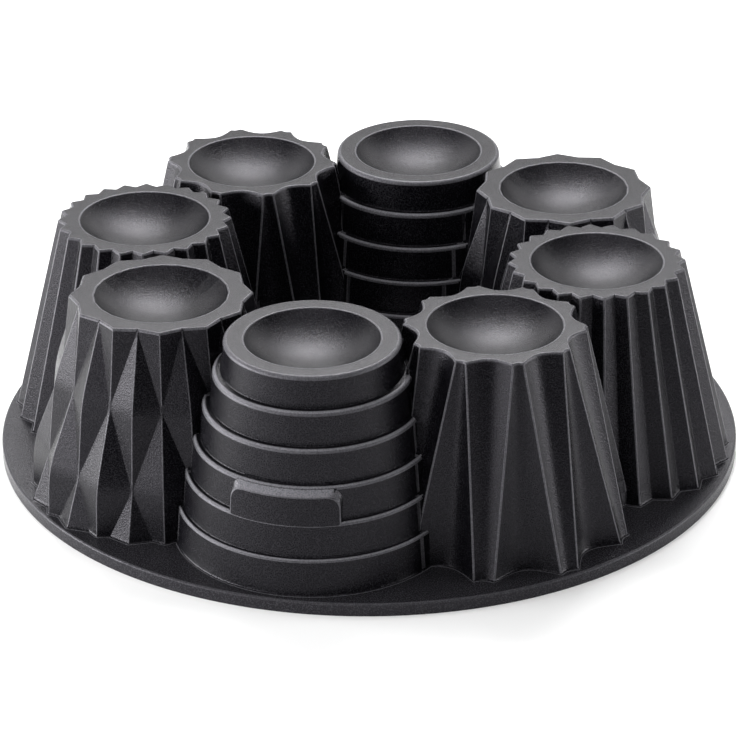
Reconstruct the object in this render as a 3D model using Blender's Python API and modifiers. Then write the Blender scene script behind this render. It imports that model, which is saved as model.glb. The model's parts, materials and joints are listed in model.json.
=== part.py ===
"""Ring cake mould with eight tower cups, standing on its rim with the cups up.

The mould is one thin-walled casting. Here it is modelled as the ten regions that a
pattern maker would name: the outer flange, the centre flange and eight cups, cut from
each other on the creases where neighbouring cups meet and on the flange's top face.

Lengths are in metres, angles in radians. The mould's axis is Z, the rim stands on
z = 0, and the ring cup that carries the raised pad faces -Y. Going counter-clockwise
from it, seen from above, the cups are ring, pleat, flute, diamond, and the same again.
"""

import math

import bmesh
import bpy

# Flange
FLANGE_THICKNESS = 0.0048
FLANGE_EDGE = 0.0008
RIM_MARGIN = 0.0010
CENTRE_MARGIN = 0.0049

# What the cups share
CUP_HEIGHT = 0.0755
WALL = 0.003
DISH_LIP = 0.0070
DISH_DEPTH = 0.009
TOP_EDGE = 0.0008
CUP_COUNT = 8

# Ring cup: bands stacked like turned steps, each a little wider than the one above
RING_PITCH = 0.0844
RING_TOP_RADIUS = 0.0312
RING_BANDS = 6
RING_DRAFT = 0.0010
RING_LEDGE_TOP = 0.00305
RING_LEDGE_FOOT = 0.00195
RING_EDGE = 0.0015

# Raised pad on the front ring cup, flush with the band below it
PAD_BAND = 3
PAD_WIDTH = 0.041
PAD_CORNER = 0.003
PAD_DROP = 0.002

# Pleat cup: straight ridges that stand in pairs, and change partners on the way down
PLEAT_PITCH = 0.0848
PLEAT_COUNT = 10
PLEAT_TOP_RADIUS = 0.0324
PLEAT_MOUTH_RADIUS = 0.0503
PLEAT_TOP_PAIR = math.radians(3.3)
PLEAT_MOUTH_PAIR = math.radians(4.1)
PLEAT_TOP_DEPTH = 0.0044
PLEAT_MOUTH_DEPTH = 0.0078
PLEAT_TOP_NARROW_DEPTH = 0.0006
PLEAT_MOUTH_NARROW_DEPTH = 0.0014

# Flute cup: straight V flutes
FLUTE_PITCH = 0.0853
FLUTE_COUNT = 24
FLUTE_TOP_RADIUS = 0.0323
FLUTE_MOUTH_RADIUS = 0.0504
FLUTE_TOP_DEPTH = 0.0028
FLUTE_MOUTH_DEPTH = 0.0036

# Diamond cup: columns of long diamonds, each row shifted by half a column. The radii are
# those of the peaks, and of the crossings between them, on each row from the top down. The
# last row lies below the flange's top face
DIAMOND_PITCH = 0.0868
DIAMOND_COLUMNS = 12
DIAMOND_ROWS = 2.626
DIAMOND_PEAKS = (0.0330, 0.0404, 0.0478, 0.0535)
DIAMOND_CROSSINGS = (0.0303, 0.0366, 0.0433, 0.0492)

# Fits and facets
GAP = 0.0003
CUT_PAST = 0.004
MERGE = 0.00001
SMOOTH_BELOW = math.radians(14)
PLEAT_SMOOTH_BELOW = math.radians(35)
RING_STEPS = 36
RIM_STEPS = 72
HOLE_STEPS = 36
DISH_TURNS = 28
DISH_STEPS = 4
DOME_STEPS = 2
EDGE_STEPS = 2
PLEAT_STEPS = 4
PLEAT_ROWS = 2

# Derived heights and radii
CUP_FOOT = FLANGE_THICKNESS + GAP
CUP_TOP = FLANGE_THICKNESS + CUP_HEIGHT
DISH_RADIUS = RING_TOP_RADIUS - DISH_LIP
BAND_HEIGHT = CUP_HEIGHT / RING_BANDS
RING_FOOT_RADIUS = (RING_TOP_RADIUS + RING_BANDS * RING_DRAFT
                    + (RING_BANDS - 1) * (RING_LEDGE_TOP + RING_LEDGE_FOOT) / 2)
DIAMOND_LAST = len(DIAMOND_PEAKS) - 1
DIAMOND_ROW = (CUP_HEIGHT - TOP_EDGE) / DIAMOND_ROWS
DIAMOND_FOOT_SHARE = DIAMOND_ROWS - (DIAMOND_LAST - 1)
DIAMOND_FOOT_RADIUS = (DIAMOND_CROSSINGS[-2] * (1 - DIAMOND_FOOT_SHARE)
                       + DIAMOND_PEAKS[-1] * DIAMOND_FOOT_SHARE)
FEET = [
    (RING_PITCH, RING_FOOT_RADIUS),
    (PLEAT_PITCH, PLEAT_MOUTH_RADIUS),
    (FLUTE_PITCH, FLUTE_MOUTH_RADIUS),
    (DIAMOND_PITCH, DIAMOND_FOOT_RADIUS),
]
RIM_RADIUS = max(pitch + radius for pitch, radius in FEET) + RIM_MARGIN
HOLE_RADIUS = min(pitch - radius for pitch, radius in FEET) - CENTRE_MARGIN
SPLIT_RADIUS = sum(pitch for pitch, _ in FEET) / len(FEET)


def polar(radius, angle):
    """Point at an angle counter-clockwise from a cup's outward direction, which is -Y."""
    return radius * math.sin(angle), -radius * math.cos(angle)


def fall(z):
    """0 at the cups' top, 1 at the flange's top face, and on at the same rate below it."""
    return (CUP_TOP - z) / CUP_HEIGHT


def between(start, end, share):
    return start + (end - start) * share


def arc(centre, radius, start, end, steps):
    """Points of a circle's arc in the X Z plane, angles counted from +X towards +Z."""
    points = []
    for step in range(steps + 1):
        angle = between(start, end, step / steps)
        points.append((centre[0] + radius * math.cos(angle), centre[1] + radius * math.sin(angle)))
    return points


def dish_arc(wall, steps):
    """The dish's spherical section from its rim to the axis, lowered by a wall below it."""
    sphere = (DISH_RADIUS ** 2 + DISH_DEPTH ** 2) / (2 * DISH_DEPTH)
    centre = CUP_TOP - DISH_DEPTH + sphere
    radius = sphere + wall
    rim = math.asin((CUP_TOP - wall - centre) / radius)
    points = arc((0, centre), radius, rim, -math.pi / 2, steps)
    points[-1] = (0, centre - radius)
    return points


def band_radius(band):
    """Radius of a ring cup's band at its upper shoulder, the top band being band 0."""
    ledges = 0
    for ledge in range(band):
        share = ledge / max(RING_BANDS - 2, 1)
        ledges += between(RING_LEDGE_TOP, RING_LEDGE_FOOT, share)
    return RING_TOP_RADIUS + band * RING_DRAFT + ledges


def band_top(band):
    return CUP_TOP - band * BAND_HEIGHT


def form_bottom(wall):
    """Outer forms run on below the flange, and cavities further still, to be cut off there."""
    return -CUT_PAST if wall == 0 else -3 * CUT_PAST


def ring_profile(wall):
    """Stepped side of the ring cup, top to bottom, moved in and down by a wall.

    The cavity's profile starts with the dome that hangs below the dish.
    """
    if wall:
        points = dish_arc(wall, DOME_STEPS)[::-1]
        points.append((RING_TOP_RADIUS - wall, CUP_TOP - wall))
    else:
        edge = RING_EDGE
        points = [(0, CUP_TOP)]
        points += arc((RING_TOP_RADIUS - edge, CUP_TOP - edge), edge, math.pi / 2, 0, EDGE_STEPS)
    for band in range(RING_BANDS):
        if band:
            points.append((band_radius(band) - wall, band_top(band) - wall))
        if band < RING_BANDS - 1:
            points.append((band_radius(band) + RING_DRAFT - wall, band_top(band + 1) - wall))
    bottom = form_bottom(wall)
    slope = RING_DRAFT / BAND_HEIGHT
    points.append((RING_FOOT_RADIUS + slope * (FLANGE_THICKNESS - bottom) - wall, bottom))
    points.append((0, bottom))
    return points


def flute_section(z, wall):
    points = []
    for corner in range(2 * FLUTE_COUNT):
        depth = between(FLUTE_TOP_DEPTH, FLUTE_MOUTH_DEPTH, fall(z)) * (corner % 2)
        radius = between(FLUTE_TOP_RADIUS, FLUTE_MOUTH_RADIUS, fall(z)) - depth - wall
        points.append(polar(radius, corner * math.pi / FLUTE_COUNT))
    return points


def diamond_ring(row, z, wall):
    """Corners on a row, where whole diamonds are widest: peaks and crossings in turn."""
    points = []
    for corner in range(2 * DIAMOND_COLUMNS):
        radii = DIAMOND_CROSSINGS if (corner + row) % 2 else DIAMOND_PEAKS
        points.append((*polar(radii[row] - wall, corner * math.pi / DIAMOND_COLUMNS), z))
    return points


def pleat_flute(centre, half_angle, radius, depth):
    """One concave flute of a pleat cup's section, from its first ridge up to the next."""
    points = []
    for step in range(PLEAT_STEPS):
        across = 2 * step / PLEAT_STEPS - 1
        points.append(polar(radius - depth * (1 - across ** 2), centre + half_angle * across))
    return points


def pleat_section(z, wall):
    """Each point runs straight from the top's outline to the mouth's."""
    half = math.pi / PLEAT_COUNT
    top_radius = PLEAT_TOP_RADIUS - wall
    mouth_radius = PLEAT_MOUTH_RADIUS - wall
    top = []
    mouth = []
    for pleat in range(PLEAT_COUNT):
        closing = 2 * half * pleat
        opening = closing + half
        top += pleat_flute(closing, half - PLEAT_TOP_PAIR, top_radius, PLEAT_TOP_DEPTH)
        top += pleat_flute(opening, PLEAT_TOP_PAIR, top_radius, PLEAT_TOP_NARROW_DEPTH)
        mouth += pleat_flute(closing, PLEAT_MOUTH_PAIR, mouth_radius, PLEAT_MOUTH_NARROW_DEPTH)
        mouth += pleat_flute(opening, half - PLEAT_MOUTH_PAIR, mouth_radius, PLEAT_MOUTH_DEPTH)
    return [(between(a[0], b[0], fall(z)), between(a[1], b[1], fall(z))) for a, b in zip(top, mouth)]


def rings_at(section, heights, wall):
    """Sections from the top down. An outer form is drawn in at its top by the edge's size."""
    edge = TOP_EDGE if wall == 0 else 0
    rings = [[(x, y, heights[0]) for x, y in section(heights[0], wall + edge)]]
    if edge:
        rings.append([(x, y, heights[0] - edge) for x, y in section(heights[0] - edge, wall)])
    for z in heights[1:]:
        rings.append([(x, y, z) for x, y in section(z, wall)])
    return rings


def flute_rings(wall):
    return rings_at(flute_section, [CUP_TOP, form_bottom(wall)], wall)


def pleat_rings(wall):
    bottom = form_bottom(wall)
    heights = [between(CUP_TOP, bottom, row / PLEAT_ROWS) for row in range(PLEAT_ROWS + 1)]
    return rings_at(pleat_section, heights, wall)


def diamond_rings(wall):
    """The top is drawn in by the edge's size, and what lies below the last row is straight."""
    first = CUP_TOP - TOP_EDGE
    rings = [diamond_ring(0, CUP_TOP, wall + TOP_EDGE)]
    for row in range(DIAMOND_LAST + 1):
        rings.append(diamond_ring(row, first - row * DIAMOND_ROW, wall))
    rings.append(diamond_ring(DIAMOND_LAST, rings[-1][0][2] + form_bottom(wall), wall))
    return rings


def finish_mesh(mesh, bm):
    bmesh.ops.recalc_face_normals(bm, faces=bm.faces[:])
    bm.to_mesh(mesh)
    bm.free()
    return mesh


def loft(name, rings):
    """Closed solid through rings of corners, listed from the top down.

    Each side panel is folded along the diagonal that lies nearer the axis, so that
    valleys stay valleys.
    """
    bm = bmesh.new()
    verts = [[bm.verts.new(point) for point in ring] for ring in rings]
    count = len(rings[0])
    for upper, lower in zip(verts, verts[1:]):
        for here in range(count):
            ahead = (here + 1) % count
            falling = (upper[here].co + lower[ahead].co).xy.length
            rising = (lower[here].co + upper[ahead].co).xy.length
            if falling < rising:
                bm.faces.new((upper[here], lower[here], lower[ahead]))
                bm.faces.new((upper[here], lower[ahead], upper[ahead]))
            else:
                bm.faces.new((upper[here], lower[here], upper[ahead]))
                bm.faces.new((lower[here], lower[ahead], upper[ahead]))
    bm.faces.new(verts[0])
    bm.faces.new(reversed(verts[-1]))
    return finish_mesh(bpy.data.meshes.new(name), bm)


def profile_mesh(name, points, closed):
    """An outline in the X Z plane, to be turned about Z by a Screw modifier."""
    bm = bmesh.new()
    verts = [bm.verts.new((x, 0, z)) for x, z in points]
    for start, end in zip(verts, verts[1:]):
        bm.edges.new((start, end))
    if closed:
        bm.edges.new((verts[-1], verts[0]))
    mesh = bpy.data.meshes.new(name)
    bm.to_mesh(mesh)
    bm.free()
    return mesh


def prism_mesh(name, outline, low, high):
    """A flat outline, counter-clockwise from above, raised from one height to another."""
    bm = bmesh.new()
    base = bm.faces.new([bm.verts.new((x, y, low)) for x, y in outline])
    raised = bmesh.ops.extrude_face_region(bm, geom=[base])["geom"]
    tops = [part for part in raised if isinstance(part, bmesh.types.BMVert)]
    bmesh.ops.translate(bm, verts=tops, vec=(0, 0, high - low))
    return finish_mesh(bpy.data.meshes.new(name), bm)


def make_collection(name):
    collection = bpy.data.collections.new(name)
    bpy.context.scene.collection.children.link(collection)
    return collection


def add_object(name, mesh, collection, parent):
    thing = bpy.data.objects.new(name, mesh)
    collection.objects.link(thing)
    thing.parent = parent
    return thing


def add_cutter(name, mesh, parent):
    cutter = add_object(name, mesh, cutters, parent)
    cutter.hide_render = True
    cutter.display_type = "WIRE"
    return cutter


def add_screw(thing, steps):
    """Turn a profile about Z into a closed solid.

    It starts half a step round, so that its corners stay clear of those of what it meets.
    """
    thing.rotation_euler.z = math.pi / steps
    screw = thing.modifiers.new("turn", "SCREW")
    screw.axis = "Z"
    screw.steps = steps
    screw.render_steps = steps
    screw.use_merge_vertices = True
    screw.merge_threshold = MERGE


def add_boolean(thing, operation, tool):
    boolean = thing.modifiers.new(tool.name, "BOOLEAN")
    boolean.operation = operation
    boolean.solver = "MANIFOLD"
    boolean.object = tool


def smoothing_nodes():
    """Node group that shades faces smooth, and keeps edges sharp from an angle upwards."""
    group = bpy.data.node_groups.new("smooth_below_angle", "GeometryNodeTree")
    group.interface.new_socket("Mesh", in_out="INPUT", socket_type="NodeSocketGeometry")
    group.interface.new_socket("Angle", in_out="INPUT", socket_type="NodeSocketFloat")
    group.interface.new_socket("Mesh", in_out="OUTPUT", socket_type="NodeSocketGeometry")
    start = group.nodes.new("NodeGroupInput")
    end = group.nodes.new("NodeGroupOutput")
    fold = group.nodes.new("GeometryNodeInputMeshEdgeAngle")
    flatter = group.nodes.new("FunctionNodeCompare")
    flatter.operation = "LESS_THAN"
    faces = group.nodes.new("GeometryNodeSetShadeSmooth")
    edges = group.nodes.new("GeometryNodeSetShadeSmooth")
    edges.domain = "EDGE"
    group.links.new(fold.outputs["Unsigned Angle"], flatter.inputs["A"])
    group.links.new(start.outputs["Angle"], flatter.inputs["B"])
    group.links.new(start.outputs["Mesh"], faces.inputs["Geometry"])
    group.links.new(faces.outputs["Geometry"], edges.inputs["Geometry"])
    group.links.new(flatter.outputs["Result"], edges.inputs["Shade Smooth"])
    group.links.new(edges.outputs["Geometry"], end.inputs["Mesh"])
    return group


def add_smoothing(thing, angle):
    smoothing = thing.modifiers.new("smooth_shading", "NODES")
    smoothing.node_group = smoothing_group
    smoothing[smoothing_group.interface.items_tree["Angle"].identifier] = angle


def coat(thing):
    """Dark satin release coating over cast aluminium."""
    material = bpy.data.materials.new(thing.name + "_coating")
    material.use_nodes = True
    shader = material.node_tree.nodes["Principled BSDF"]
    shader.inputs["Base Color"].default_value = (0.045, 0.045, 0.050, 1.0)
    shader.inputs["Metallic"].default_value = 0.35
    shader.inputs["Roughness"].default_value = 0.42
    thing.data.materials.clear()
    thing.data.materials.append(material)


def ring_form(name, wall):
    return profile_mesh(name, ring_profile(wall), closed=False)


def flute_form(name, wall):
    return loft(name, flute_rings(wall))


def pleat_form(name, wall):
    return loft(name, pleat_rings(wall))


def diamond_form(name, wall):
    return loft(name, diamond_rings(wall))


# Design of each cup: its form, whether the form is a profile to turn, its pitch radius, and
# the angle from which its edges look sharp
DESIGNS = {
    "ring": (ring_form, True, RING_PITCH, SMOOTH_BELOW),
    "pleat": (pleat_form, False, PLEAT_PITCH, PLEAT_SMOOTH_BELOW),
    "flute": (flute_form, False, FLUTE_PITCH, SMOOTH_BELOW),
    "diamond": (diamond_form, False, DIAMOND_PITCH, SMOOTH_BELOW),
}
PLACES = ["front", "front_right", "right", "back_right", "back", "back_left", "left", "front_left"]


def wedge_outline():
    """The sector between two creases, drawn in by half a gap on each side."""
    half = math.pi / CUP_COUNT
    tip = polar(GAP / 2 / math.sin(half), 0)
    reach = 2 * RIM_RADIUS
    right = polar(reach, half)
    left = polar(reach, -half)
    return [tip, (tip[0] + left[0], tip[1] + left[1]), (tip[0] + right[0], tip[1] + right[1])]


def dish_profile():
    lid = CUP_TOP + CUT_PAST
    return [(0, lid), (DISH_RADIUS, lid)] + dish_arc(0, DISH_STEPS)


def ceiling_profile():
    """What stays above the cavity: everything over the ceiling and the dome below the dish."""
    lid = CUP_TOP + CUT_PAST
    ceiling = CUP_TOP - WALL
    reach = 2 * DISH_RADIUS
    return [(0, lid), (reach, lid), (reach, ceiling)] + dish_arc(WALL, DOME_STEPS)


def pad_profile():
    """Closed section of the pad. Its back and its foot are sunk in the cup's wall."""
    shoulder = band_radius(PAD_BAND)
    below = band_radius(PAD_BAND + 1)
    top = band_top(PAD_BAND)
    foot = band_top(PAD_BAND + 1)
    sunk = WALL / 4
    front_top = between(below, below - RING_DRAFT, (BAND_HEIGHT - PAD_DROP) / BAND_HEIGHT)
    return [
        (shoulder - sunk, top - GAP),
        (shoulder, top - GAP),
        (front_top, top - PAD_DROP),
        (below, foot),
        (below, foot - sunk),
        (shoulder + RING_DRAFT - sunk, foot - sunk),
    ]


def add_pad(cup, parent):
    """Turn the pad's section, keep the width of the pad, and join it to the cup."""
    pad = add_cutter("pad", profile_mesh("pad", pad_profile(), closed=True), parent)
    add_screw(pad, RING_STEPS)
    bm = bmesh.new()
    bmesh.ops.create_cube(bm, size=1)
    height = 2 * BAND_HEIGHT
    depth = band_radius(PAD_BAND + 1) + CUT_PAST
    bmesh.ops.scale(bm, vec=(PAD_WIDTH, depth, height), verts=bm.verts[:])
    bmesh.ops.translate(bm, vec=(0, -depth / 2, band_top(PAD_BAND) - height / 2), verts=bm.verts[:])
    upper = []
    for edge in bm.edges:
        start, end = (vert.co for vert in edge.verts)
        if abs(start.y - end.y) > depth / 2 and start.z > band_top(PAD_BAND + 1):
            upper.append(edge)
    bmesh.ops.bevel(bm, geom=upper, offset=PAD_CORNER, segments=EDGE_STEPS + 1, profile=0.5, affect="EDGES")
    frame = add_cutter("pad_frame", finish_mesh(bpy.data.meshes.new("pad_frame"), bm), parent)
    add_boolean(pad, "INTERSECT", frame)
    add_boolean(cup, "UNION", pad)


def make_cup(index, meshes):
    """One cup on its empty, with its cutters. Returns the cavity, which the flanges need."""
    design = list(DESIGNS)[index % len(DESIGNS)]
    turned, pitch, smooth_below = DESIGNS[design][1:]
    name = design + "_cup_" + PLACES[index]
    seat = add_object(name + "_seat", None, mould, root)
    seat.rotation_euler.z = index * 2 * math.pi / CUP_COUNT
    centre = add_object(name + "_centre", None, mould, seat)
    centre.location = (*polar(pitch, 0), 0)
    cup = add_object(name, meshes[design].copy(), mould, centre)
    cavity = add_cutter(name + "_cavity", meshes[design + "_cavity"], centre)
    if turned:
        add_screw(cup, RING_STEPS)
        add_screw(cavity, RING_STEPS)
    else:
        ceiling = add_cutter(name + "_ceiling", meshes["ceiling"], centre)
        add_screw(ceiling, DISH_TURNS)
        add_boolean(cavity, "DIFFERENCE", ceiling)
    dish = add_cutter(name + "_dish", meshes["dish"], centre)
    add_screw(dish, DISH_TURNS)
    wedge = add_cutter(name + "_wedge", meshes["wedge"], seat)
    if index == 0:
        add_pad(cup, centre)
    add_boolean(cup, "DIFFERENCE", dish)
    add_boolean(cup, "DIFFERENCE", cavity)
    add_boolean(cup, "INTERSECT", wedge)
    add_smoothing(cup, smooth_below)
    coat(cup)
    return cavity


def make_flange(name, profile, steps, cavities):
    """A turned plate with the lobed opening of the cavities cut through it."""
    plate = add_object(name, profile_mesh(name, profile, closed=True), mould, root)
    add_screw(plate, steps)
    for cavity in cavities:
        add_boolean(plate, "DIFFERENCE", cavity)
    add_smoothing(plate, SMOOTH_BELOW)
    coat(plate)


def rim_profile():
    """Section of the outer flange, from the middle of the cavity out. It stands on a sharp edge."""
    edge = FLANGE_EDGE
    high = FLANGE_THICKNESS - edge
    points = [(SPLIT_RADIUS, FLANGE_THICKNESS)]
    points += arc((RIM_RADIUS - edge, high), edge, math.pi / 2, 0, EDGE_STEPS)
    points += [(RIM_RADIUS, 0), (SPLIT_RADIUS, 0)]
    return points


def centre_profile():
    """Section of the centre flange, from the middle of the cavity in to the hole."""
    edge = FLANGE_EDGE
    high = FLANGE_THICKNESS - edge
    points = [(SPLIT_RADIUS, FLANGE_THICKNESS), (SPLIT_RADIUS, 0), (HOLE_RADIUS, 0)]
    points += arc((HOLE_RADIUS + edge, high), edge, math.pi, math.pi / 2, EDGE_STEPS)
    return points


for old in list(bpy.data.objects):
    bpy.data.objects.remove(old)

mould = make_collection("tower_cup_ring_mould")
cutters = make_collection("cutters")
root = add_object("mould_axis", None, mould, None)
smoothing_group = smoothing_nodes()

shared = {
    "ceiling": profile_mesh("ceiling", ceiling_profile(), closed=False),
    "dish": profile_mesh("dish", dish_profile(), closed=False),
    "wedge": prism_mesh("wedge", wedge_outline(), CUP_FOOT, CUP_TOP + CUT_PAST),
}
for style, (form, *_) in DESIGNS.items():
    shared[style] = form(style, 0)
    shared[style + "_cavity"] = form(style + "_cavity", WALL)

hollows = [make_cup(index, shared) for index in range(CUP_COUNT)]
make_flange("rim_flange", rim_profile(), RIM_STEPS, hollows)
make_flange("centre_flange", centre_profile(), HOLE_STEPS, hollows)
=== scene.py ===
import json
import math

import bmesh
import bpy
from mathutils import Matrix, Vector

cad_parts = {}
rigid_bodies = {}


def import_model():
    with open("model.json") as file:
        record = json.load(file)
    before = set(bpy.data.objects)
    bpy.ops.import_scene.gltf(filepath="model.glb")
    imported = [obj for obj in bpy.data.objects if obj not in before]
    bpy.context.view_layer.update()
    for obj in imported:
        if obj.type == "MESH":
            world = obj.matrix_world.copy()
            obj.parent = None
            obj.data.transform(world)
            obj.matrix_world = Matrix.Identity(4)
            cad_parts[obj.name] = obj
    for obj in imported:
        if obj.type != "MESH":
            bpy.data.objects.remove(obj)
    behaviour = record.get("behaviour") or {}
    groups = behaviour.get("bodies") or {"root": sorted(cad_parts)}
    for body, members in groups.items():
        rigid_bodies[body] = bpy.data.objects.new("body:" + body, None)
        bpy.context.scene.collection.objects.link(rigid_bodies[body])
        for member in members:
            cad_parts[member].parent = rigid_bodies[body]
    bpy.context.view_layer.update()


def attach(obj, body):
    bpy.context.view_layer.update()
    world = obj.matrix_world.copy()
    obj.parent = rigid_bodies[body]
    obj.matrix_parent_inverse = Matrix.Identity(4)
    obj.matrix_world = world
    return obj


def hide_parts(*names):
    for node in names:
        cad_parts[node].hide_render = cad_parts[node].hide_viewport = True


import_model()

# Lengths are in metres and angles in radians where a comment gives no other unit, in the
# frame of the CAD: the mould's axis is Z, it stands on z = 0, and the ring cup with the
# raised pad faces -Y

# Flange: a rim plate and a centre plate that meet at SPLIT_RADIUS
FLANGE_THICKNESS = 0.0048
FLANGE_EDGE = 0.0008
RIM_RADIUS = 0.13735
RIM_STEPS = 240
HOLE_RADIUS = 0.0296
HOLE_STEPS = 120
SPLIT_RADIUS = 0.0853

# What the cups share; the cavity's forms reach SINK below the rim's underside
CUP_TOP = 0.0803
CUP_HEIGHT = CUP_TOP - FLANGE_THICKNESS
CUP_COUNT = 8
WALL = 0.003
DISH_RADIUS = 0.0242
DISH_DEPTH = 0.009
DISH_STEPS = 12
LIP_ROUNDING = 0.0010
LIP_FLAT = 2 * LIP_ROUNDING
FOOT_ROUNDING = 0.0008
MOUTH_ROUNDING = 0.0008
SINK = 0.004

# Ring cup
RING_PITCH = 0.0844
RING_TOP_RADIUS = 0.0312
RING_BANDS = 6
BAND_HEIGHT = CUP_HEIGHT / RING_BANDS
RING_DRAFT = 0.0010
RING_LEDGE_TOP = 0.00305
RING_LEDGE_FOOT = 0.00195
RING_TOP_ROUNDING = 0.0015
SHOULDER_ROUNDING = 0.0018
SHOULDER_STEPS = 7
LEDGE_LIFT = 0.001
LEDGE_ROUNDING = 0.0004
LEDGE_STEPS = 3
RING_STEPS = 160

# Raised pad on the front ring cup, its slope in degrees
PAD_BAND = 3
PAD_WIDTH = 0.0445
PAD_CORNER = 0.0045
PAD_RISE = 0.0008
PAD_DROP = 0.0034
PAD_SIDE = 0.0016
PAD_ROOT_SIDE = 0.0016
PAD_ROUNDING = 0.0007
PAD_SLOPE = 40
PAD_SUNK = 0.0003
PAD_TAIL = 0.0035
PAD_SETBACK = 0.0001
PAD_STEPS = 8
PAD_STRIP = 0.0017

# Pleat cup; PLEAT_ACROSS places a flute's points across it, from -1 to 1
PLEAT_PITCH = 0.0848
PLEAT_COUNT = 10
PLEAT_TURN = math.radians(-1)
PLEAT_TOP_RADIUS = 0.0324
PLEAT_MOUTH_RADIUS = 0.0503
PLEAT_TOP_PAIR = math.radians(3.3)
PLEAT_MOUTH_PAIR = math.radians(4.1)
PLEAT_TOP_DEPTH = 0.0044
PLEAT_MOUTH_DEPTH = 0.0078
PLEAT_TOP_NARROW_DEPTH = 0.0006
PLEAT_MOUTH_NARROW_DEPTH = 0.0014
PLEAT_ROUNDING = 0.0006
PLEAT_ACROSS = (-0.78, -0.6, -0.4, -0.2, 0.0, 0.2, 0.4, 0.6, 0.78)
PLEAT_LEVELS = 16

# Flute cup
FLUTE_PITCH = 0.0853
FLUTE_COUNT = 24
FLUTE_TOP_RADIUS = 0.0323
FLUTE_MOUTH_RADIUS = 0.0504
FLUTE_TOP_DEPTH = 0.0028
FLUTE_MOUTH_DEPTH = 0.0036
FLUTE_CREST_ROUNDING = 0.0007
FLUTE_VALLEY_ROUNDING = 0.0003
FLUTE_LEVELS = 6

# Diamond cup: its rows of corners lie DIAMOND_ROW apart, and the radii are one for each row
DIAMOND_PITCH = 0.0868
DIAMOND_COLUMNS = 12
DIAMOND_FIRST = 0.0795
DIAMOND_ROW = 0.02845
DIAMOND_PEAKS = (0.0330, 0.0404, 0.0478, 0.0535)
DIAMOND_CROSSINGS = (0.0303, 0.0366, 0.0433, 0.0492)
DIAMOND_ROUNDING = 0.0005
DIAMOND_VALLEY_ROUNDING = 0.00025
DIAMOND_BEND = 0.25
DIAMOND_LAST_ROW = 2.9999
DIAMOND_LEAST_SHARE = 0.05
DIAMOND_MOST_SHARE = 0.95
DIAMOND_ROW_STEPS = 12
DIAMOND_LEVELS = 34

# Roundings: a reach is the share of the shorter side beside a corner that the corner's arc
# may take up, and a profile runs on past its last corner by PROFILE_TAIL roundings
LOFT_TOP_ROUNDING = 0.0009
EDGE_STEPS = 4
CAVITY_EDGE_STEPS = 2
REACH_ALONE = 0.9
REACH_SHARED = 0.45
REACH_PROFILE = 0.5
PROFILE_TAIL = 3
NO_LENGTH = 1e-7
NO_TURN = 1e-5
MERGE_BELOW = 2e-6
SMOOTH_BELOW = math.radians(35)

# Edge rubbing and painted edge highlight: from none to EDGE_WEAR between two sharpnesses of its
# outward bend, per metre
RUBBING_AND_HIGHLIGHT_FROM = 150
RUBBING_AND_HIGHLIGHT_FULL = 650
EDGE_WEAR = 0.28

# Painted highlight on a ledge's shoulder: up to SHOULDER_PAINTED_HIGHLIGHT between two heights,
# where the
# Z of the surface's normal lies between STEEP and FLAT, and in full from TURNED on
SHOULDER_PAINTED_HIGHLIGHT = 0.62
SHOULDER_STEEP = 0.42
SHOULDER_TURNED = 0.78
SHOULDER_FLAT = 0.95
SHOULDER_LOWEST = 0.008
SHOULDER_HIGHEST = 0.07

# Faces below this area, in square metres, have no bend to speak of
SLIVER = 1e-8

# Coating: the scales are per metre, and each pair of limits is on a noise that runs 0 to 1
GRAIN_SCALE = 2100
GRAIN_DETAIL = 2
GRAIN_HEIGHT = 0.00016
FLECK_FROM = 0.48
FLECK_FULL = 0.68
RUBBING_AND_HIGHLIGHT_BREAKUP_FROM = 0.3
RUBBING_AND_HIGHLIGHT_BREAKUP_FULL = 0.6
RUBBING_AND_HIGHLIGHT_BREAKUP_LEAST = 0.5
CLOUD_SCALE = 60
CLOUD_DETAIL = 3
CLOUD_FROM = 0.3
CLOUD_FULL = 0.7
ROUGHNESS_LEAST = 0.18
ROUGHNESS_MOST = 0.24
SPECULAR_LEVEL = 0.19
SPECULAR_TINT = (0.93, 0.9, 1, 1)

# Ground, fleck, and edge-rubbing-and-painted-highlight colour of each coating
CUP_COLOURS = ((0.0021, 0.002, 0.003), (0.016, 0.0155, 0.018), (0.33, 0.325, 0.355))
# The flange carries the cups' coating painted lighter: its lighter ground and fleck are painted
# light on the flange top
FLANGE_PAINTED_LIGHTER_COLOURS = ((0.0125, 0.012, 0.0145), (0.046, 0.045, 0.05), (0.11, 0.108, 0.118))

# The camera stands this far round the mould, and the lamps are placed from its line
VIEW_TURN = math.radians(13.43)
LAMP_AIM = Vector((0, 0, 0.04))

# Name, azimuth and elevation in degrees, distance, width and height, and power in watts
SOFTBOXES = (
    ("left_softbox", -90, 12, 1.4, (1.1, 0.6), 36),
    ("left_front_softbox", -130, 12, 1.2, (0.6, 0.4), 4),
    ("right_softbox", 90, 10, 1.2, (0.8, 0.4), 10),
    ("back_left_softbox", -40, 32, 1.3, (0.5, 0.4), 1.5),
    ("back_right_softbox", 40, 32, 1.3, (0.5, 0.4), 1.6),
    ("back_low_softbox", 0, 22, 1.3, (1.2, 0.3), 2.4),
    ("back_softbox", 0, 44, 1.3, (0.9, 0.35), 7),
    ("back_high_softbox", 0, 55, 1.3, (0.7, 0.3), 14),
    ("front_softbox", 180, 64, 1.3, (1, 0.4), 4.5),
    ("top_softbox", 0, 78, 1.3, (1.2, 0.3), 4),
)
WORLD_STRENGTH = 0.02

FLOOR_REACH = 6
FLOOR_COLOUR = (0.9, 0.9, 0.9, 1)
FLOOR_ROUGHNESS = 0.9
FLOOR_GLOW = 0.1

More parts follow.
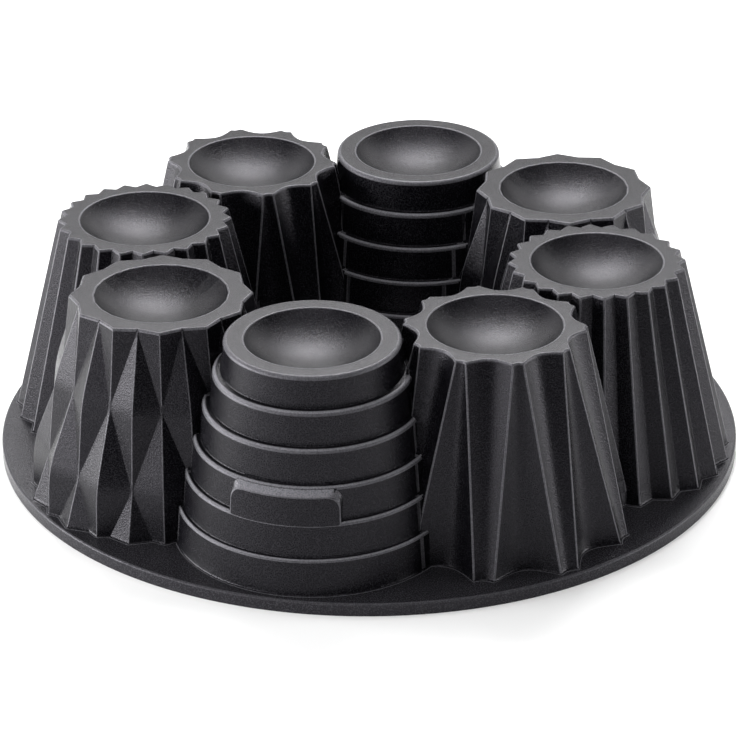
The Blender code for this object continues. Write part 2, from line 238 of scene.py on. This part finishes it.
# The sensor and the lens in millimetres, and the turns about X, Y and Z in degrees
CAMERA_SENSOR = 36
CAMERA_LENS = 193.13
CAMERA_CLIP_START = 0.05
CAMERA_PLACE = (0.3059860, -1.2826458, 0.6833639)
CAMERA_TURNS = (63.55075, 0.29290, 13.28428)


def polar(radius, angle):
    """Point at an angle counter-clockwise from a cup's outward direction, which is -Y."""
    return Vector((radius * math.sin(angle), -radius * math.cos(angle)))


def between(start, end, share):
    return start + (end - start) * share


def fall(z):
    """0 at the cups' top and 1 at the flange's top face."""
    return (CUP_TOP - z) / CUP_HEIGHT


def fillet(before, corner, after, radius, steps, reach):
    """Points of the arc that rounds a corner of an outline, steps + 1 of them."""
    if steps == 0:
        return [corner]
    back = before - corner
    ahead = after - corner
    limit = reach * min(back.length, ahead.length)
    if limit < NO_LENGTH:
        return [corner] * (steps + 1)
    back.normalize()
    ahead.normalize()
    middle = back + ahead
    if middle.length < NO_TURN:
        return [corner] * (steps + 1)
    middle.normalize()
    turn = math.pi - back.angle(ahead)
    radius = min(radius, limit / math.tan(turn / 2))
    across = (ahead - middle * ahead.dot(middle)).normalized()
    centre = corner + middle * (radius / math.cos(turn / 2))
    points = []
    for step in range(steps + 1):
        angle = turn * (step / steps - 0.5)
        towards_corner = middle * radius * math.cos(angle)
        points.append(centre - towards_corner + across * radius * math.sin(angle))
    return points


def rounded_outline(corners):
    """Closed outline of (point, rounding, steps, reach) corners with its corners rounded."""
    points = []
    for index, (corner, radius, steps, reach) in enumerate(corners):
        before = corners[index - 1][0]
        after = corners[(index + 1) % len(corners)][0]
        points += fillet(before, corner, after, radius, steps, reach)
    return points


def rounded_profile(corners):
    """Open outline of (point, rounding, steps) corners: its two ends stay as they are."""
    points = [corners[0][0]]
    for index in range(1, len(corners) - 1):
        corner, radius, steps = corners[index]
        before = corners[index - 1][0]
        after = corners[index + 1][0]
        points += fillet(before, corner, after, radius, steps, REACH_PROFILE)
    points.append(corners[-1][0])
    return points


def dish_profile(wall):
    """Profile of the dish, or of the dome a wall below it, out to the flat ring, and the height
    at which it meets the cup's axis."""
    sphere = (DISH_RADIUS ** 2 + DISH_DEPTH ** 2) / (2 * DISH_DEPTH)
    height = CUP_TOP - DISH_DEPTH + sphere
    radius = sphere + wall
    rim = math.acos((height - CUP_TOP + wall) / radius)
    points = []
    for step in range(1, DISH_STEPS + 1):
        angle = rim * step / DISH_STEPS
        points.append(Vector((radius * math.sin(angle), height - radius * math.cos(angle))))
    edge = points.pop()
    flat = Vector((edge.x + LIP_FLAT, edge.y))
    lip = fillet(points[-1], edge, flat, LIP_ROUNDING, EDGE_STEPS, REACH_ALONE)
    return points + lip, height - radius


# A section is a cup's outline at a height, moved in by an inset, with each corner rounded in
# a number of arc steps


def flute_section(z, inset, arcs):
    corners = []
    for index in range(2 * FLUTE_COUNT):
        crest = index % 2 == 0
        depth = 0 if crest else between(FLUTE_TOP_DEPTH, FLUTE_MOUTH_DEPTH, fall(z))
        radius = between(FLUTE_TOP_RADIUS, FLUTE_MOUTH_RADIUS, fall(z)) - depth - inset
        rounding = FLUTE_CREST_ROUNDING if crest else FLUTE_VALLEY_ROUNDING
        point = polar(radius, index * math.pi / FLUTE_COUNT)
        corners.append((point, rounding, arcs, REACH_SHARED))
    return rounded_outline(corners)


def pleat_flute(centre, half_angle, radius, depth):
    """A ridge and the concave flute that follows it."""
    points = [polar(radius, centre - half_angle)]
    for across in PLEAT_ACROSS:
        points.append(polar(radius - depth * (1 - across ** 2), centre + half_angle * across))
    return points


def pleat_section(z, inset, arcs):
    half = math.pi / PLEAT_COUNT
    above = PLEAT_TOP_RADIUS - inset
    below = PLEAT_MOUTH_RADIUS - inset
    top = []
    mouth = []
    for pleat in range(PLEAT_COUNT):
        closing = 2 * half * pleat + PLEAT_TURN
        opening = closing + half
        top += pleat_flute(closing, half - PLEAT_TOP_PAIR, above, PLEAT_TOP_DEPTH)
        top += pleat_flute(opening, PLEAT_TOP_PAIR, above, PLEAT_TOP_NARROW_DEPTH)
        mouth += pleat_flute(closing, PLEAT_MOUTH_PAIR, below, PLEAT_MOUTH_NARROW_DEPTH)
        mouth += pleat_flute(opening, half - PLEAT_MOUTH_PAIR, below, PLEAT_MOUTH_DEPTH)
    corners = []
    for index, (high, low) in enumerate(zip(top, mouth)):
        ridge = index % (len(PLEAT_ACROSS) + 1) == 0
        steps = arcs if ridge else 0
        corners.append((between(high, low, fall(z)), PLEAT_ROUNDING, steps, REACH_ALONE))
    return rounded_outline(corners)


def diamond_radius(corner, level):
    """Radius of a vertical crest at a level, which counts rows from the top: straight between
    rows, and bent softly at peaks."""
    def on_row(row):
        row = min(row, len(DIAMOND_PEAKS) - 1)
        return (DIAMOND_CROSSINGS if (corner + row) % 2 else DIAMOND_PEAKS)[row]
    row = int(level)
    radius = between(on_row(row), on_row(row + 1), level - row)
    near = round(level)
    off = level - near
    peak = 0 < near < len(DIAMOND_PEAKS) - 1 and (corner + near) % 2 == 0
    if peak and abs(off) < DIAMOND_BEND:
        above = on_row(near) - on_row(near - 1)
        below = on_row(near + 1) - on_row(near)
        radius = on_row(near) + (above + below) / 2 * off
        radius += (below - above) / (4 * DIAMOND_BEND) * (off ** 2 + DIAMOND_BEND ** 2)
    return radius


def diamond_section(z, inset, arcs):
    level = min(max((DIAMOND_FIRST - z) / DIAMOND_ROW, 0), DIAMOND_LAST_ROW)
    row = int(level)
    share = min(max(level - row, DIAMOND_LEAST_SHARE), DIAMOND_MOST_SHARE)
    step = math.pi / DIAMOND_COLUMNS
    corners = []
    for corner in range(2 * DIAMOND_COLUMNS):
        crest = polar(diamond_radius(corner, level) - inset, corner * step)
        corners.append((crest, DIAMOND_ROUNDING, arcs, REACH_SHARED))
        start, end = (corner, corner + 1) if (corner + row) % 2 else (corner + 1, corner)
        high = polar(DIAMOND_CROSSINGS[row] - inset, start * step)
        low = polar(DIAMOND_CROSSINGS[row + 1] - inset, end * step)
        valley = between(high, low, share)
        corners.append((valley, DIAMOND_VALLEY_ROUNDING, arcs, REACH_SHARED))
    return rounded_outline(corners)


def circle_section(radius):
    return [polar(radius, index * 2 * math.pi / RING_STEPS) for index in range(RING_STEPS)]


def band_radius(band):
    """Radius of a ring cup's band at its upper edge."""
    ledges = 0
    for ledge in range(band):
        ledges += between(RING_LEDGE_TOP, RING_LEDGE_FOOT, ledge / (RING_BANDS - 2))
    return RING_TOP_RADIUS + band * RING_DRAFT + ledges


def band_top(band):
    return CUP_TOP - band * BAND_HEIGHT + (LEDGE_LIFT if band else 0)


def ring_side(wall):
    """Rounded stepped profile from the flat ring down, moved in and down by a wall."""
    corners = [(Vector((DISH_RADIUS + LIP_FLAT, CUP_TOP - wall)), 0, 0)]
    for band in range(RING_BANDS):
        convex = SHOULDER_ROUNDING if band else RING_TOP_ROUNDING
        shoulder = Vector((band_radius(band) - wall, band_top(band) - wall))
        corners.append((shoulder, convex, SHOULDER_STEPS))
        if band < RING_BANDS - 1:
            foot = Vector((band_radius(band) + RING_DRAFT - wall, band_top(band + 1) - wall))
            corners.append((foot, LEDGE_ROUNDING, LEDGE_STEPS))
    last = band_radius(RING_BANDS - 1) + RING_DRAFT - wall
    bottom, rounding = (0, MOUTH_ROUNDING) if wall else (FLANGE_THICKNESS, FOOT_ROUNDING)
    corners.append((Vector((last, bottom)), rounding, EDGE_STEPS))
    corners.append((Vector((last + PROFILE_TAIL * rounding, bottom)), 0, 0))
    points = rounded_profile(corners)[1:-1]
    if wall:
        points.append(Vector((points[-1].x, -SINK)))
    return points


def lofted_rings(section, heights, wall):
    """Side rings of a loft from the flat ring down, with its edges rounded."""
    if wall:
        top, bottom, flare = CUP_TOP - wall, 0.0, MOUTH_ROUNDING
        rounding, arcs = LOFT_TOP_ROUNDING / 2, CAVITY_EDGE_STEPS
    else:
        top, bottom, flare = CUP_TOP, FLANGE_THICKNESS, FOOT_ROUNDING
        rounding, arcs = LOFT_TOP_ROUNDING, EDGE_STEPS
    rings = []
    for step in range(EDGE_STEPS + 1):
        angle = math.pi / 2 * step / EDGE_STEPS
        z = top - rounding * (1 - math.cos(angle))
        inset = wall + rounding * (1 - math.sin(angle))
        rings.append([(*p, z) for p in section(top - rounding, inset, arcs)])
    for z in heights:
        if bottom + flare < z < top - rounding:
            rings.append([(*p, z) for p in section(z, wall, arcs)])
    for step in range(EDGE_STEPS + 1):
        angle = math.pi / 2 * step / EDGE_STEPS
        z = bottom + flare * (1 - math.sin(angle))
        rings.append([(*p, z) for p in section(z, wall - flare * (1 - math.cos(angle)), arcs)])
    if wall:
        rings.append([(x, y, -SINK) for x, y, z in rings[-1]])
    return rings


def finish(name, bm):
    """Mesh of a closed form whose double points are merged and whose faces look outward."""
    bmesh.ops.remove_doubles(bm, verts=bm.verts[:], dist=MERGE_BELOW)
    bmesh.ops.recalc_face_normals(bm, faces=bm.faces[:])
    mesh = bpy.data.meshes.new(name)
    bm.to_mesh(mesh)
    bm.free()
    return mesh


def skin(name, rings, wall):
    """Closed mesh through rings that run from the flat ring down, with the dish inside them."""
    bm = bmesh.new()
    profile, lowest = dish_profile(wall)
    directions = [Vector(point[:2]).normalized() for point in rings[0]]
    inner = [[(*(d * p.x), p.y) for d in directions] for p in profile]
    verts = [[bm.verts.new(point) for point in ring] for ring in inner + rings]
    apex = bm.verts.new((0, 0, lowest))
    count = len(directions)
    for here in range(count):
        ahead = (here + 1) % count
        bm.faces.new((apex, verts[0][here], verts[0][ahead]))
        for upper, lower in zip(verts, verts[1:]):
            bm.faces.new((upper[here], lower[here], lower[ahead], upper[ahead]))
    bm.faces.new(verts[-1])
    return finish(name, bm)


def levels(count):
    """Heights from the cups' top down to the rim's underside."""
    return [between(CUP_TOP, 0, step / count) for step in range(count + 1)]


def ring_form(name, wall):
    rings = [[(*p, z) for p in circle_section(r)] for r, z in ring_side(wall)]
    return skin(name, rings, wall)


def pleat_form(name, wall):
    return skin(name, lofted_rings(pleat_section, levels(PLEAT_LEVELS), wall), wall)


def flute_form(name, wall):
    return skin(name, lofted_rings(flute_section, levels(FLUTE_LEVELS), wall), wall)


def diamond_form(name, wall):
    steps = range(DIAMOND_LEVELS)
    heights = [DIAMOND_FIRST - DIAMOND_ROW * step / DIAMOND_ROW_STEPS for step in steps]
    return skin(name, lofted_rings(diamond_section, heights, wall), wall)


def pad_mesh(name):
    """The pad: a sloped edge round a face that is flush with the band below, wrapped round the
    cup."""
    root = band_radius(PAD_BAND - 1) + RING_DRAFT - PAD_SUNK
    wall = band_radius(PAD_BAND)
    below = band_radius(PAD_BAND + 1)
    top = band_top(PAD_BAND) + PAD_RISE
    foot = band_top(PAD_BAND + 1) - PAD_TAIL

    def front(z):
        return below - PAD_SETBACK - RING_DRAFT * (z - band_top(PAD_BAND + 1)) / BAND_HEIGHT

    def outline(side, drop, reach):
        """Outline at a reach from the axis, its sides and top inside the full one's."""
        half = PAD_WIDTH / 2 - side
        upper = top - drop
        spots = [(half, foot), (half, upper), (-half, upper), (-half, foot)]
        spots = [Vector(spot) for spot in spots]
        points = spots[:1]
        for index in (1, 2):
            before, corner, after = spots[index - 1:index + 2]
            points += fillet(before, corner, after, PAD_CORNER, PAD_STEPS, REACH_ALONE)
        return [(x, reach(z), z) for x, z in points + spots[3:]]

    rows = [
        outline(PAD_ROOT_SIDE, 0, lambda z: root),
        outline(0, PAD_DROP * (wall - root) / (below - root), lambda z: wall),
    ]
    slope = math.radians(PAD_SLOPE)
    for step in range(EDGE_STEPS + 1):
        angle = between(slope, math.pi / 2, step / EDGE_STEPS)
        back = PAD_ROUNDING * (1 - math.sin(angle))
        inset = PAD_ROUNDING * (math.cos(slope) - math.cos(angle))
        rows.append(outline(PAD_SIDE + inset, PAD_DROP + inset, lambda z: front(z) - back))
    bm = bmesh.new()
    verts = [[bm.verts.new(point) for point in row] for row in rows]
    count = len(verts[0])
    for here in range(count):
        ahead = (here + 1) % count
        for inner, outer in zip(verts, verts[1:]):
            bm.faces.new((inner[here], inner[ahead], outer[ahead], outer[here]))
    bm.faces.new(verts[0])
    bm.faces.new(verts[-1])
    cuts = math.floor(PAD_WIDTH / 2 / PAD_STRIP)
    for cut in range(-cuts, cuts + 1):
        geometry = bm.verts[:] + bm.edges[:] + bm.faces[:]
        spot = (cut * PAD_STRIP, 0, 0)
        bmesh.ops.bisect_plane(bm, geom=geometry, plane_co=spot, plane_no=(1, 0, 0))
    for vert in bm.verts:
        x, reach, z = vert.co
        vert.co = (*polar(reach, x / below), z)
    return finish(name, bm)


def plate_profile(start, corner, end):
    """Half section of a flange plate, from its free upper edge round to the split."""
    start, corner, end = Vector(start), Vector(corner), Vector(end)
    edge = fillet(start, corner, end, FLANGE_EDGE, EDGE_STEPS, REACH_ALONE)
    return [start] + edge + [end, Vector((SPLIT_RADIUS, 0))]


def turned_plate(name, profile, steps):
    """Closed ring turned from a closed profile."""
    bm = bmesh.new()
    rows = []
    for step in range(steps):
        angle = step * 2 * math.pi / steps
        rows.append([bm.verts.new((*polar(x, angle), z)) for x, z in profile])
    for row, following in zip(rows, rows[1:] + rows[:1]):
        for index in range(len(profile)):
            bm.faces.new((row[index], row[index - 1], following[index - 1], following[index]))
    return finish(name, bm)


def sector(name):
    """Prism between the two creases of a cup."""
    half = math.pi / CUP_COUNT
    reach = 2 * RIM_RADIUS
    spots = [Vector((0, 0)), polar(reach, -half), polar(reach, half)]
    bm = bmesh.new()
    low = [bm.verts.new((*spot, -2 * SINK)) for spot in spots]
    high = [bm.verts.new((*spot, CUP_TOP + SINK)) for spot in spots]
    bm.faces.new(low)
    bm.faces.new(high)
    for here in range(len(spots)):
        ahead = (here + 1) % len(spots)
        bm.faces.new((low[here], low[ahead], high[ahead], high[here]))
    return finish(name, bm)


scratch = bpy.data.collections.new("scratch")
bpy.context.scene.collection.children.link(scratch)
made = bpy.data.collections.new("mould")
bpy.context.scene.collection.children.link(made)


def tool(name, mesh, matrix):
    """Object that only serves the boolean steps."""
    thing = bpy.data.objects.new(name, mesh)
    thing.matrix_world = matrix
    scratch.objects.link(thing)
    return thing


def combine(name, start, steps):
    """Boolean steps on a copy of a mesh, with the result in world coordinates."""
    work = bpy.data.objects.new(name, start.data.copy())
    work.data.transform(start.matrix_world)
    scratch.objects.link(work)
    for operation, other in steps:
        modifier = work.modifiers.new(operation, "BOOLEAN")
        modifier.operation = operation
        modifier.object = other
        modifier.solver = "MANIFOLD"
    bpy.context.view_layer.update()
    evaluated = work.evaluated_get(bpy.context.evaluated_depsgraph_get())
    mesh = bpy.data.meshes.new_from_object(evaluated)
    mesh.name = name
    bpy.data.objects.remove(work)
    return mesh


def coating(name, ground, fleck, rubbing_and_highlight_colour):
    """Satin dark release coating: fine flecked grain, slightly cloudy gloss, and a lighter colour
    that is partly edge rubbing and partly painted highlight on edges and ledge shoulders.
    """
    material = bpy.data.materials.new(name)
    material.use_nodes = True
    nodes = material.node_tree.nodes
    links = material.node_tree.links
    shader = nodes["Principled BSDF"]
    shader.inputs["Specular IOR Level"].default_value = SPECULAR_LEVEL
    shader.inputs["Specular Tint"].default_value = SPECULAR_TINT
    place = nodes.new("ShaderNodeTexCoord")

    def noise(scale, detail):
        node = nodes.new("ShaderNodeTexNoise")
        node.inputs["Scale"].default_value = scale
        node.inputs["Detail"].default_value = detail
        links.new(place.outputs["Object"], node.inputs["Vector"])
        return node.outputs["Fac"]

    def map_range(value, start, end, low, high):
        node = nodes.new("ShaderNodeMapRange")
        node.inputs["From Min"].default_value = start
        node.inputs["From Max"].default_value = end
        node.inputs["To Min"].default_value = low
        node.inputs["To Max"].default_value = high
        links.new(value, node.inputs["Value"])
        return node.outputs["Result"]

    grain = noise(GRAIN_SCALE, GRAIN_DETAIL)
    cloud = noise(CLOUD_SCALE, CLOUD_DETAIL)
    tint = nodes.new("ShaderNodeValToRGB")
    for index, (position, colour) in enumerate(((FLECK_FROM, ground), (FLECK_FULL, fleck))):
        tint.color_ramp.elements[index].position = position
        tint.color_ramp.elements[index].color = (*colour, 1)
    links.new(grain, tint.inputs["Fac"])
    # Per-face share of the lighter colour: edge rubbing and painted highlight
    wear = nodes.new("ShaderNodeAttribute")
    wear.attribute_name = "wear"
    share = nodes.new("ShaderNodeMath")
    share.operation = "MULTIPLY"
    links.new(map_range(grain, RUBBING_AND_HIGHLIGHT_BREAKUP_FROM, RUBBING_AND_HIGHLIGHT_BREAKUP_FULL, RUBBING_AND_HIGHLIGHT_BREAKUP_LEAST, 1), share.inputs[0])
    links.new(wear.outputs["Fac"], share.inputs[1])
    rubbing_and_highlight_mix = nodes.new("ShaderNodeMix")
    rubbing_and_highlight_mix.data_type = "RGBA"
    rubbing_and_highlight_mix.inputs["B"].default_value = (*rubbing_and_highlight_colour, 1)
    links.new(share.outputs[0], rubbing_and_highlight_mix.inputs["Factor"])
    links.new(tint.outputs["Color"], rubbing_and_highlight_mix.inputs["A"])
    links.new(rubbing_and_highlight_mix.outputs["Result"], shader.inputs["Base Color"])
    gloss = map_range(cloud, CLOUD_FROM, CLOUD_FULL, ROUGHNESS_LEAST, ROUGHNESS_MOST)
    links.new(gloss, shader.inputs["Roughness"])
    bump = nodes.new("ShaderNodeBump")
    bump.inputs["Strength"].default_value = 1
    bump.inputs["Distance"].default_value = GRAIN_HEIGHT
    links.new(grain, bump.inputs["Height"])
    links.new(bump.outputs["Normal"], shader.inputs["Normal"])
    return material


def mark_wear(mesh):
    """Store on each face its share of the lighter colour: sharp outward bends a little, as edge
    rubbing and painted highlight, and the shoulders of the ledges more, as painted highlight."""
    bm = bmesh.new()
    bm.from_mesh(mesh)
    layer = bm.faces.layers.float.new("wear")
    for face in bm.faces:
        area = face.calc_area()
        if area < SLIVER:
            continue
        bends = (edge.calc_length() * edge.calc_face_angle_signed(0) for edge in face.edges)
        bend = sum(bends) / 2 / area
        # Ledge shoulders get the lighter colour as a painted highlight
        turned_over = bend > -RUBBING_AND_HIGHLIGHT_FROM and SHOULDER_STEEP < face.normal.z < SHOULDER_FLAT
        if turned_over and SHOULDER_LOWEST < face.calc_center_median().z < SHOULDER_HIGHEST:
            turned = (face.normal.z - SHOULDER_STEEP) / (SHOULDER_TURNED - SHOULDER_STEEP)
            face[layer] = SHOULDER_PAINTED_HIGHLIGHT * min(1, turned)
        else:
            # Sharp outward bends get the lighter colour as edge rubbing and painted highlight
            sharpness = (bend - RUBBING_AND_HIGHLIGHT_FROM) / (RUBBING_AND_HIGHLIGHT_FULL - RUBBING_AND_HIGHLIGHT_FROM)
            face[layer] = EDGE_WEAR * min(1, max(0, sharpness))
    bm.to_mesh(mesh)
    bm.free()


def add_piece(name, node, mesh, coat):
    """Dress a CAD node with a mesh in a coating."""
    piece = bpy.data.objects.new(name, mesh)
    made.objects.link(piece)
    mesh.materials.clear()
    mesh.materials.append(coat)
    mark_wear(mesh)
    mesh.shade_smooth()
    mesh.set_sharp_from_angle(angle=SMOOTH_BELOW)
    weighted = piece.modifiers.new("weighted_normals", "WEIGHTED_NORMAL")
    weighted.mode = "FACE_AREA"
    weighted.keep_sharp = True
    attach(piece, "root")
    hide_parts(node)


cup_coat = coating("coating_cups", *CUP_COLOURS)
# Flange coating: the same coating with a lighter ground and fleck, painted light on the flange top
flange_painted_lighter_coat = coating("coating_flange_painted_lighter", *FLANGE_PAINTED_LIGHTER_COLOURS)

# Each design's form and pitch radius, in their order round the mould
DESIGNS = {
    "ring": (ring_form, RING_PITCH),
    "pleat": (pleat_form, PLEAT_PITCH),
    "flute": (flute_form, FLUTE_PITCH),
    "diamond": (diamond_form, DIAMOND_PITCH),
}
PLACES = ["front", "front_right", "right", "back_right", "back", "back_left", "left", "front_left"]

# Each plate's steps round the axis, and the start, rounded corner and end of its free edge
PLATES = {
    "rim_flange": (
        RIM_STEPS,
        (SPLIT_RADIUS, FLANGE_THICKNESS), (RIM_RADIUS, FLANGE_THICKNESS), (RIM_RADIUS, 0),
    ),
    "centre_flange": (
        HOLE_STEPS,
        (HOLE_RADIUS, 0), (HOLE_RADIUS, FLANGE_THICKNESS), (SPLIT_RADIUS, FLANGE_THICKNESS),
    ),
}

meshes = {}
for design, (form, _) in DESIGNS.items():
    meshes[design] = form(design, 0)
    meshes[design + "_cavity"] = form(design + "_cavity", WALL)
names = []
forms = []
cavities = []
wedges = []
wedge_mesh = sector("sector")
pad = pad_mesh("pad")
for index, place in enumerate(PLACES):
    design = list(DESIGNS)[index % len(DESIGNS)]
    pitch = DESIGNS[design][1]
    turn = Matrix.Rotation(index * 2 * math.pi / CUP_COUNT, 4, "Z")
    seat = turn @ Matrix.Translation((*polar(pitch, 0), 0))
    form = tool(design + place, meshes[design], seat)
    if index == 0:
        padded = combine("padded", form, [("UNION", tool("pad", pad, seat))])
        form = tool("padded_form", padded, Matrix.Identity(4))
    names.append(design + "_cup_" + place)
    forms.append(form)
    cavities.append(tool(names[-1] + "_cavity", meshes[design + "_cavity"], seat))
    wedges.append(tool(names[-1] + "_sector", wedge_mesh, turn))

for index, name in enumerate(names):
    before = index - 1
    after = (index + 1) % CUP_COUNT
    steps = [("UNION", forms[before]), ("UNION", forms[after]), ("INTERSECT", wedges[index])]
    steps += [("DIFFERENCE", cavities[other]) for other in (index, before, after)]
    add_piece(name + "_casting", name, combine(name, forms[index], steps), cup_coat)
for name, (steps, *edge) in PLATES.items():
    plate_mesh = turned_plate(name, plate_profile(*edge), steps)
    plate = tool(name + "_plate", plate_mesh, Matrix.Identity(4))
    cuts = [("DIFFERENCE", cavity) for cavity in cavities]
    add_piece(name + "_casting", name, combine(name, plate, cuts), flange_painted_lighter_coat)

for thing in list(scratch.objects):
    bpy.data.objects.remove(thing)
bpy.data.collections.remove(scratch)


def area_lamp(name, azimuth, elevation, distance, size, power):
    """A soft box that faces the mould; azimuth clockwise from straight behind it, in degrees."""
    around = math.radians(azimuth) - VIEW_TURN
    up = math.radians(elevation)
    reach = distance * math.cos(up)
    data = bpy.data.lights.new(name, "AREA")
    data.shape = "RECTANGLE"
    data.size, data.size_y = size
    data.energy = power
    lamp = bpy.data.objects.new(name, data)
    lamp.location = (reach * math.sin(around), reach * math.cos(around), distance * math.sin(up))
    lamp.rotation_euler = (LAMP_AIM - lamp.location).to_track_quat("-Z", "Y").to_euler()
    bpy.context.scene.collection.objects.link(lamp)


for softbox in SOFTBOXES:
    area_lamp(*softbox)


def pale_floor():
    """Matt pale material with a little glow for camera, glossy and transmission rays."""
    material = bpy.data.materials.new("pale_floor")
    material.use_nodes = True
    nodes = material.node_tree.nodes
    links = material.node_tree.links
    shader = nodes["Principled BSDF"]
    shader.inputs["Base Color"].default_value = FLOOR_COLOUR
    shader.inputs["Roughness"].default_value = FLOOR_ROUGHNESS
    path = nodes.new("ShaderNodeLightPath")
    seen = path.outputs["Is Camera Ray"]
    for ray in ("Is Glossy Ray", "Is Transmission Ray"):
        either = nodes.new("ShaderNodeMath")
        either.operation = "ADD"
        links.new(seen, either.inputs[0])
        links.new(path.outputs[ray], either.inputs[1])
        seen = either.outputs[0]
    strength = nodes.new("ShaderNodeMath")
    strength.operation = "MULTIPLY"
    strength.inputs[1].default_value = FLOOR_GLOW
    glow = nodes.new("ShaderNodeEmission")
    total = nodes.new("ShaderNodeAddShader")
    links.new(seen, strength.inputs[0])
    links.new(strength.outputs[0], glow.inputs["Strength"])
    links.new(shader.outputs[0], total.inputs[0])
    links.new(glow.outputs[0], total.inputs[1])
    links.new(total.outputs[0], nodes["Material Output"].inputs["Surface"])
    return material


reach = FLOOR_REACH
floor_mesh = bpy.data.meshes.new("floor")
floor_corners = [(-reach, -reach, 0), (reach, -reach, 0), (reach, reach, 0), (-reach, reach, 0)]
floor_mesh.from_pydata(floor_corners, [], [(0, 1, 2, 3)])
floor_mesh.materials.append(pale_floor())
floor = bpy.data.objects.new("floor", floor_mesh)
bpy.context.scene.collection.objects.link(floor)

world = bpy.data.worlds.new("studio")
bpy.context.scene.world = world
world.use_nodes = True
background = world.node_tree.nodes["Background"]
background.inputs["Color"].default_value = (1, 1, 1, 1)
background.inputs["Strength"].default_value = WORLD_STRENGTH

camera = bpy.data.objects.new("camera", bpy.data.cameras.new("camera"))
camera.data.sensor_width = CAMERA_SENSOR
camera.data.lens = CAMERA_LENS
camera.data.clip_start = CAMERA_CLIP_START
camera.location = CAMERA_PLACE
camera.rotation_euler = [math.radians(angle) for angle in CAMERA_TURNS]
bpy.context.scene.collection.objects.link(camera)
bpy.context.scene.camera = camera
bpy.context.scene.view_settings.view_transform = "Standard"
